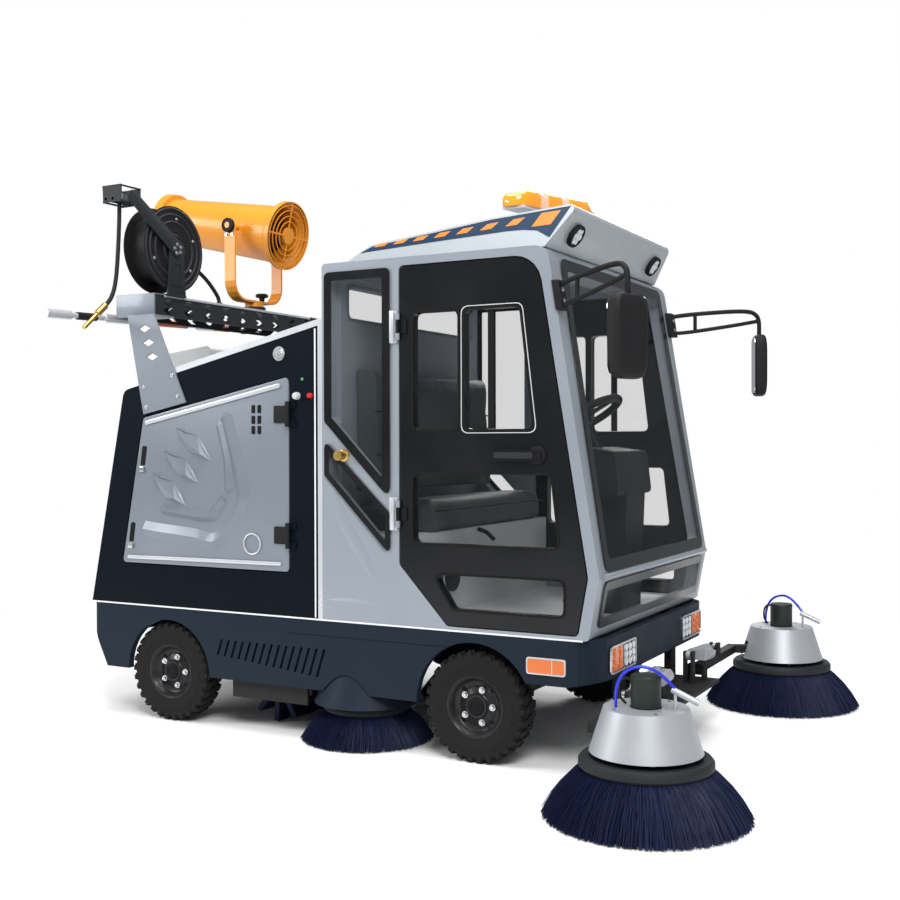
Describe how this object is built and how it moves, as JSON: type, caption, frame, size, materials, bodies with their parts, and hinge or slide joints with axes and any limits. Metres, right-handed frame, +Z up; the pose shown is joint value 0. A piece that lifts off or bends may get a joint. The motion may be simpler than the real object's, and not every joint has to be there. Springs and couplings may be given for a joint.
{
  "type": "compact road sweeper",
  "caption": "Compact electric road sweeper with a glazed cab, gutter brushes on lifting arms, a dirt hopper with doors, a mist cannon and a hose reel.",
  "frame": {"origin": "on the road under the middle of the vehicle's overall length and width", "axes": "+X to the front, +Y to the vehicle's left, +Z up"},
  "size_m": [3.2798, 2.506, 2.4315],
  "materials": {
    "navy_paint": "satin",
    "slate_paint": "satin",
    "silver_paint": "satin",
    "black_paint": "satin",
    "gloss_black": "gloss",
    "white_paint": "satin",
    "orange_paint": "gloss",
    "bright_steel": "brushed",
    "cover_alloy": "satin",
    "black_plastic": "matte",
    "light_plastic": "satin",
    "amber": "gloss",
    "glass": "clear",
    "seat_vinyl": "soft",
    "tyre": "matte",
    "bristle": "matte",
    "hose_black": "matte",
    "hose_blue": "satin",
    "brass": "satin",
    "battery": "matte"
  },
  "bodies": {
    "chassis": {"chassis_frame": "black_paint", "axles": "black_paint", "skirt": "slate_paint", "hopper_body": "navy_paint", "body_trim": "bright_steel", "filter_cover": "light_plastic", "cab_frame": "silver_paint", "cab_floor": "white_paint", "cab_glass": "glass", "roof": "silver_paint", "lamps": "amber", "beacon": "amber", "mirrors": "black_plastic", "seat": "seat_vinyl", "steering_console": "black_plastic", "battery_pack": "battery", "rack_struts": "silver_paint", "rack_beam": "black_paint", "reel_frame": "black_plastic", "reel_hose": "hose_black", "hose_end": "brass", "supply_hose": "hose_black", "lance": "bright_steel", "mid_brush_covers": "slate_paint", "broom_hood": "black_paint"},
    "steering_wheel": {"steering_wheel": "black_plastic"},
    "rear_door": {"rear_door": "navy_paint"},
    "cannon_yoke": {"cannon_yoke": "orange_paint"},
    "cannon_barrel": {"cannon_barrel": "orange_paint"},
    "cannon_fan": {"cannon_fan": "black_paint"},
    "reel_drum": {"reel_drum": "black_plastic"},
    "main_broom": {"main_broom": "bristle"},
    "cab_door_right": {"cab_door_right": "gloss_black", "cab_door_glass_right": "glass"},
    "side_door_right": {"side_door_right": "silver_paint"},
    "knuckle_right": {"knuckle_right": "black_paint"},
    "wheel_front_right": {"wheel_front_right": "tyre"},
    "wheel_rear_right": {"wheel_rear_right": "tyre"},
    "brush_arm_right": {"brush_arm_right": "black_paint", "brush_cover_right": "cover_alloy", "spray_hose_right": "hose_blue"},
    "front_brush_right": {"front_brush_right": "bristle"},
    "actuator_right": {"actuator_right": "cover_alloy"},
    "actuator_rod_right": {"actuator_rod_right": "bright_steel"},
    "mid_brush_right": {"mid_brush_right": "bristle"},
    "cab_door_left": {"cab_door_left": "gloss_black", "cab_door_glass_left": "glass"},
    "side_door_left": {"side_door_left": "silver_paint"},
    "knuckle_left": {"knuckle_left": "black_paint"},
    "wheel_front_left": {"wheel_front_left": "tyre"},
    "wheel_rear_left": {"wheel_rear_left": "tyre"},
    "brush_arm_left": {"brush_arm_left": "black_paint", "brush_cover_left": "cover_alloy", "spray_hose_left": "hose_blue"},
    "front_brush_left": {"front_brush_left": "bristle"},
    "actuator_left": {"actuator_left": "cover_alloy"},
    "actuator_rod_left": {"actuator_rod_left": "bright_steel"},
    "mid_brush_left": {"mid_brush_left": "bristle"}
  },
  "joints": [
    {"name": "steer_right", "type": "hinge", "parent": "chassis", "child": "knuckle_right", "pos_m": [0.5509, -0.538, 0.205], "axis": [0, 0, 1], "range_deg": [-30, 30]},
    {"name": "wheel_front_right_spin", "type": "hinge", "parent": "knuckle_right", "child": "wheel_front_right", "pos_m": [0.5509, -0.578, 0.205], "axis": [0, 1, 0], "continuous": true},
    {"name": "wheel_rear_right_spin", "type": "hinge", "parent": "chassis", "child": "wheel_rear_right", "pos_m": [-0.8891, -0.578, 0.205], "axis": [0, 1, 0], "continuous": true},
    {"name": "cab_door_right_swing", "type": "hinge", "parent": "chassis", "child": "cab_door_right", "pos_m": [0.2444, -0.65, 1.25], "axis": [0, 0, -1], "range_deg": [0, 85]},
    {"name": "side_door_right_swing", "type": "hinge", "parent": "chassis", "child": "side_door_right", "pos_m": [-0.26242, -0.65, 1.04], "axis": [0, 0, 1], "range_deg": [0, 100]},
    {"name": "brush_lift_right", "type": "hinge", "parent": "chassis", "child": "brush_arm_right", "pos_m": [1.1009, -0.3, 0.235], "axis": [-1, 0, 0], "range_deg": [0, 15]},
    {"name": "actuator_swing_right", "type": "hinge", "parent": "chassis", "child": "actuator_right", "pos_m": [1.1009, -0.19, 0.31], "axis": [-1, 0, 0], "range_deg": [-1, 12]},
    {"name": "actuator_slide_right", "type": "slide", "parent": "actuator_right", "child": "actuator_rod_right", "axis": [0, -0.9985, -0.054], "range_m": [-0.024, 0.002]},
    {"name": "front_brush_right_spin", "type": "hinge", "parent": "brush_arm_right", "child": "front_brush_right", "pos_m": [1.3019, -0.916, 0.19], "axis": [0, 0, 1], "continuous": true},
    {"name": "mid_brush_right_spin", "type": "hinge", "parent": "chassis", "child": "mid_brush_right", "pos_m": [-0.0001, -0.48, 0.14], "axis": [0, 0, 1], "continuous": true},
    {"name": "steer_left", "type": "hinge", "parent": "chassis", "child": "knuckle_left", "pos_m": [0.5509, 0.538, 0.205], "axis": [0, 0, 1], "range_deg": [-30, 30]},
    {"name": "wheel_front_left_spin", "type": "hinge", "parent": "knuckle_left", "child": "wheel_front_left", "pos_m": [0.5509, 0.578, 0.205], "axis": [0, 1, 0], "continuous": true},
    {"name": "wheel_rear_left_spin", "type": "hinge", "parent": "chassis", "child": "wheel_rear_left", "pos_m": [-0.8891, 0.578, 0.205], "axis": [0, 1, 0], "continuous": true},
    {"name": "cab_door_left_swing", "type": "hinge", "parent": "chassis", "child": "cab_door_left", "pos_m": [0.2444, 0.65, 1.25], "axis": [0, 0, 1], "range_deg": [0, 85]},
    {"name": "side_door_left_swing", "type": "hinge", "parent": "chassis", "child": "side_door_left", "pos_m": [-0.26242, 0.65, 1.04], "axis": [0, 0, -1], "range_deg": [0, 100]},
    {"name": "brush_lift_left", "type": "hinge", "parent": "chassis", "child": "brush_arm_left", "pos_m": [1.1009, 0.3, 0.235], "axis": [1, 0, 0], "range_deg": [0, 15]},
    {"name": "actuator_swing_left", "type": "hinge", "parent": "chassis", "child": "actuator_left", "pos_m": [1.1009, 0.19, 0.31], "axis": [1, 0, 0], "range_deg": [-1, 12]},
    {"name": "actuator_slide_left", "type": "slide", "parent": "actuator_left", "child": "actuator_rod_left", "axis": [0, 0.9985, -0.054], "range_m": [-0.024, 0.002]},
    {"name": "front_brush_left_spin", "type": "hinge", "parent": "brush_arm_left", "child": "front_brush_left", "pos_m": [1.3019, 0.916, 0.19], "axis": [0, 0, 1], "continuous": true},
    {"name": "mid_brush_left_spin", "type": "hinge", "parent": "chassis", "child": "mid_brush_left", "pos_m": [-0.0001, 0.48, 0.14], "axis": [0, 0, 1], "continuous": true},
    {"name": "steering_wheel_turn", "type": "hinge", "parent": "chassis", "child": "steering_wheel", "pos_m": [0.7199, 0, 1.26], "axis": [-0.5, 0, 0.866], "range_deg": [-365, 365]},
    {"name": "rear_door_lift", "type": "hinge", "parent": "chassis", "child": "rear_door", "pos_m": [-1.16396, 0, 1.29781], "axis": [0, 1, 0], "range_deg": [0, 75]},
    {"name": "cannon_swivel", "type": "hinge", "parent": "chassis", "child": "cannon_yoke", "pos_m": [-1.0801, 0.2, 1.83], "axis": [0, 0, -1], "range_deg": [-20, 90]},
    {"name": "cannon_tilt", "type": "hinge", "parent": "cannon_yoke", "child": "cannon_barrel", "pos_m": [-1.0801, 0.2, 2.2], "axis": [0, 1, 0], "range_deg": [-20, 35]},
    {"name": "cannon_fan_spin", "type": "hinge", "parent": "cannon_barrel", "child": "cannon_fan", "pos_m": [-1.0801, 0.2, 2.2], "axis": [0.9816, 0, -0.1908], "continuous": true},
    {"name": "reel_spin", "type": "hinge", "parent": "chassis", "child": "reel_drum", "pos_m": [-1.0501, -0.475, 2.01], "axis": [1, 0, 0], "continuous": true},
    {"name": "main_broom_spin", "type": "hinge", "parent": "chassis", "child": "main_broom", "pos_m": [-0.4601, 0, 0.165], "axis": [0, 1, 0], "continuous": true}
  ],
  "couplings": [
    {"joint": "actuator_swing_right", "follows": "brush_lift_right", "ratio": 0.70354},
    {"joint": "actuator_slide_right", "follows": "brush_lift_right", "m_per_rad": -0.07897},
    {"joint": "actuator_swing_left", "follows": "brush_lift_left", "ratio": 0.70354},
    {"joint": "actuator_slide_left", "follows": "brush_lift_left", "m_per_rad": -0.07897},
    {"joint": "steer_left", "follows": "steer_right", "ratio": 1},
    {"joint": "steering_wheel_turn", "follows": "steer_right", "ratio": 12}
  ]
}
